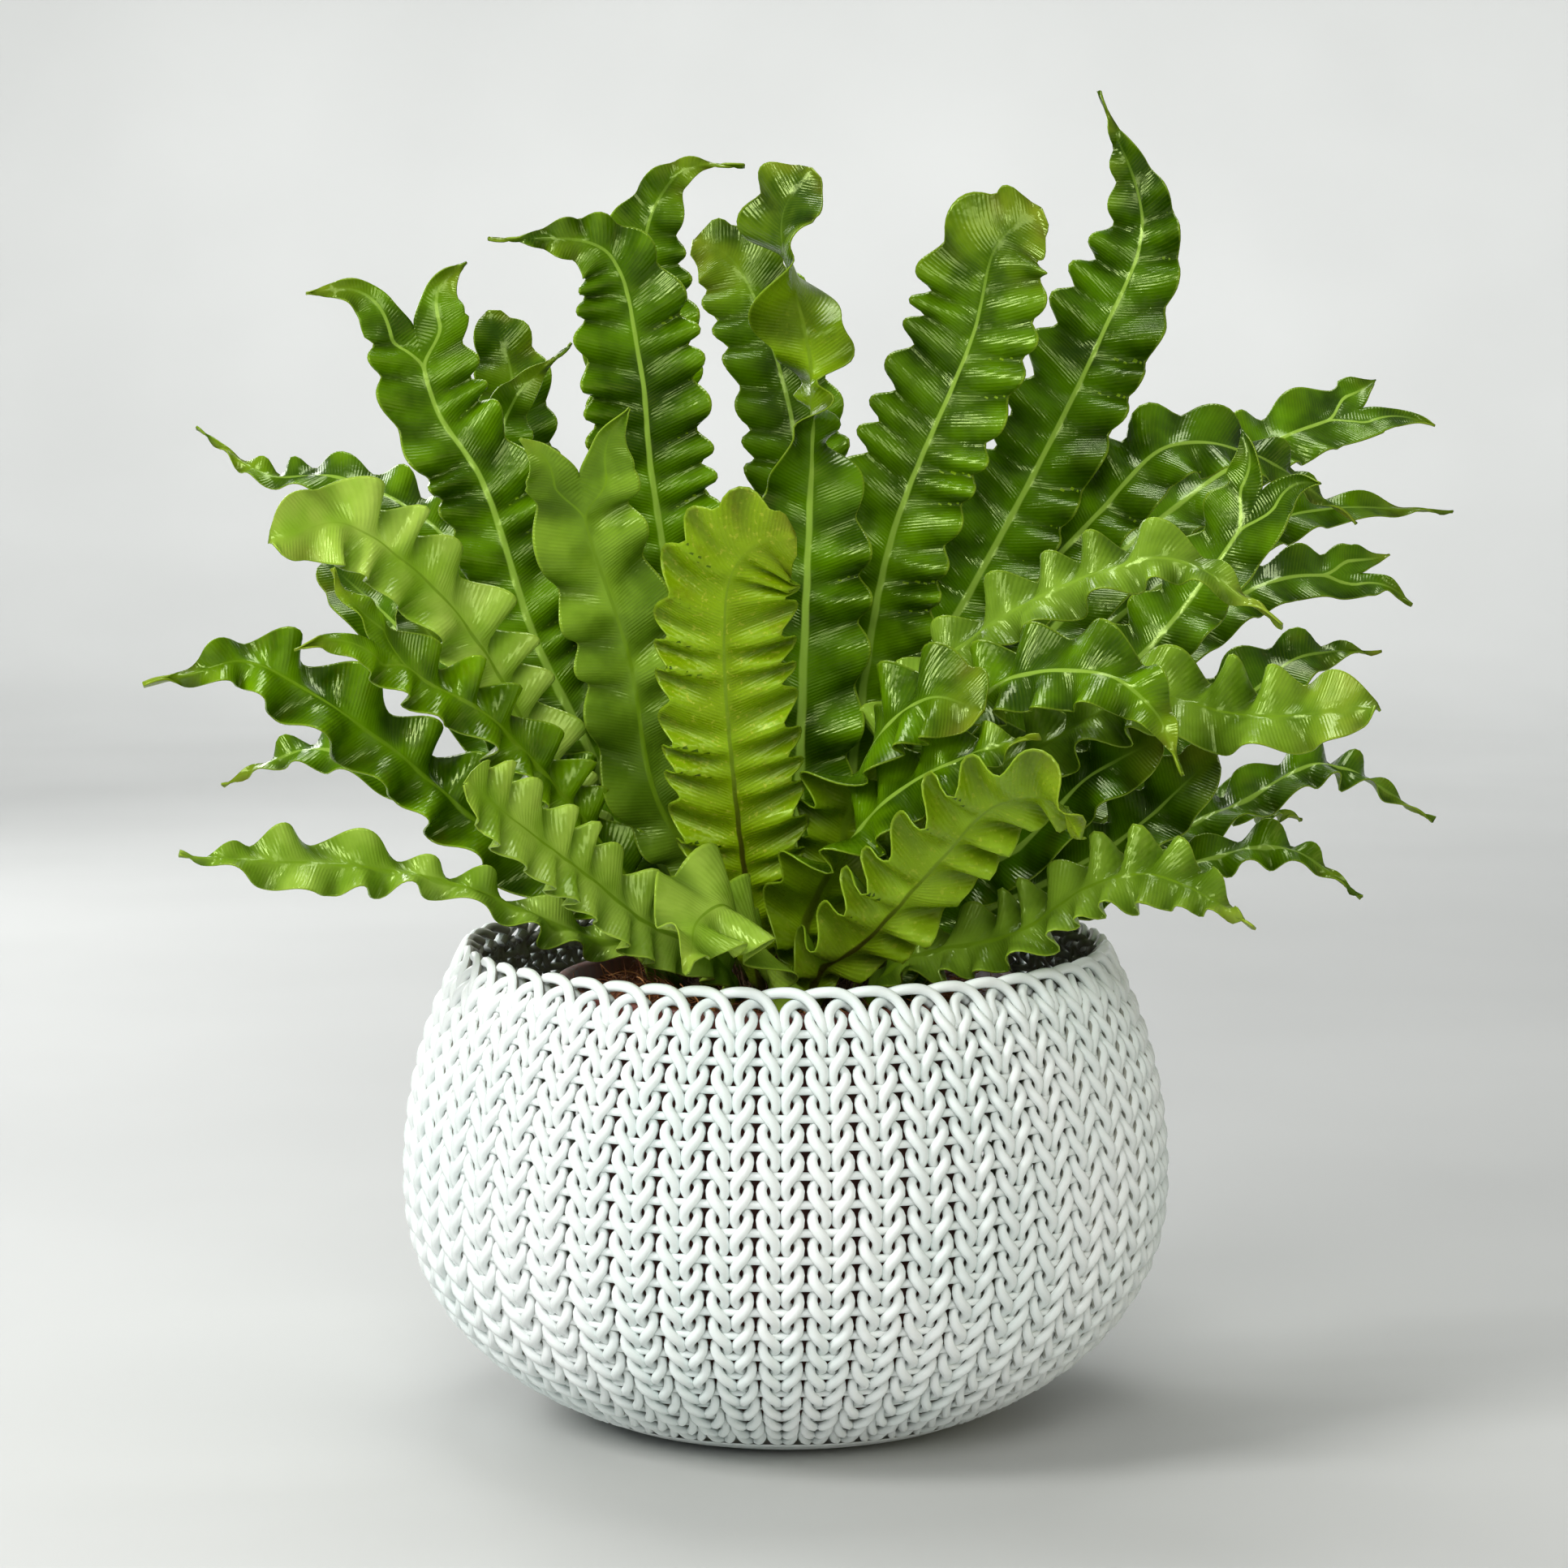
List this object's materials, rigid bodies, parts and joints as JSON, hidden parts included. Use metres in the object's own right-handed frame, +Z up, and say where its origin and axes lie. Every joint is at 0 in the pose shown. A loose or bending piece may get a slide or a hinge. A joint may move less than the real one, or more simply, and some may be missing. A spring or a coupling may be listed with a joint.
{
  "type": "potted crispy wave bird's nest fern",
  "caption": "Rosette of glossy, wave-edged fern fronds, some with forked tips, in a nursery pot inside a round pale planter with a knitted look.",
  "frame": {"origin": "centre of the planter's flat base, on the surface that it stands on", "axes": "+Z up; the front that the picture shows looks along -Y, with +X to the picture's right"},
  "size_m": [0.5051, 0.3897, 0.4827],
  "materials": {
    "planter": "pale mint-white moulded plastic, satin",
    "nursery_pot": "thin reddish-brown plastic, satin",
    "potting_mix": "loose coir fibre and peat, matt",
    "crown": "dark old stipe bases and brown scales, matt",
    "frond": "glossy fresh green leaf with a pale rib"
  },
  "bodies": {
    "root": {"planter": "planter", "nursery_pot": "nursery_pot", "potting_mix": "potting_mix", "crown": "crown", "frond_upright_1": "frond", "frond_upright_2": "frond", "frond_upright_3": "frond", "frond_upright_4": "frond", "frond_upright_5": "frond", "frond_upright_6": "frond", "frond_upright_7": "frond", "frond_upright_8": "frond", "frond_left_1": "frond", "frond_left_2": "frond", "frond_left_3": "frond", "frond_left_4": "frond", "frond_left_5": "frond", "frond_left_6": "frond", "frond_left_7": "frond", "frond_left_8": "frond", "frond_left_9": "frond", "frond_left_10": "frond", "frond_left_11": "frond", "frond_left_12": "frond", "frond_left_13": "frond", "frond_right_1": "frond", "frond_right_2": "frond", "frond_right_3": "frond", "frond_right_4": "frond", "frond_right_5": "frond", "frond_right_6": "frond", "frond_right_7": "frond", "frond_right_8": "frond", "frond_right_9": "frond", "frond_right_10": "frond", "frond_right_11": "frond", "frond_right_12": "frond", "frond_right_13": "frond", "frond_right_14": "frond", "frond_right_15": "frond", "frond_right_16": "frond", "frond_right_17": "frond", "frond_front_1": "frond", "frond_back_1": "frond", "frond_back_2": "frond", "frond_back_3": "frond", "frond_back_4": "frond", "frond_back_5": "frond", "frond_back_6": "frond", "frond_back_7": "frond", "frond_back_8": "frond"}
  },
  "joints": []
}
